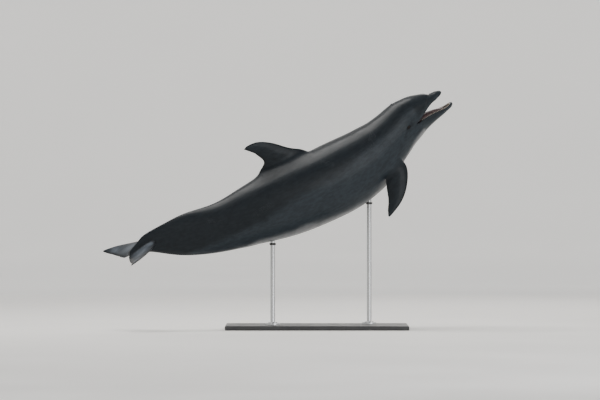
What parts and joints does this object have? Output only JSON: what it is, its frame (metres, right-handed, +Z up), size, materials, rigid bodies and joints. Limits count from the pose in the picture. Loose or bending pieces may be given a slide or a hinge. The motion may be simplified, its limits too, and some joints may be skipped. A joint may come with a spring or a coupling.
{
  "type": "bottlenose dolphin model",
  "caption": "Life-size leaping dolphin with an open mouth, curved back fin, swept flippers and level flukes, held on a plain flat base by slim upright rods.",
  "frame": {"origin": "floor under the middle of the whole model, stand included", "axes": "+X towards the side the animal faces, +Y towards its left side, +Z up; the animal's own length is turned about 18 degrees from +X and climbs"},
  "size_m": [2.3835, 1.1094, 1.6266],
  "materials": {
    "skin": "smooth wet slate-grey skin, satin gloss",
    "skin_pale": "smooth wet pale grey skin, satin gloss",
    "tongue": "moist pink flesh",
    "eye": "polished dark brown eye",
    "stand_base": "smooth matt black",
    "stand_rod": "fine satin steel"
  },
  "bodies": {
    "root": {"upper_jaw": "skin", "melon": "skin", "head": "skin", "neck": "skin", "chest": "skin", "trunk": "skin", "tail": "skin", "tail_stock": "skin", "dorsal_fin": "skin", "flipper_left": "skin", "flipper_right": "skin", "fluke_left": "skin", "fluke_right": "skin", "lower_jaw": "skin_pale", "tongue": "tongue", "eye_left": "eye", "eye_right": "eye", "stand_base": "stand_base", "stand_rod_front": "stand_rod", "stand_rod_rear": "stand_rod"}
  },
  "joints": []
}
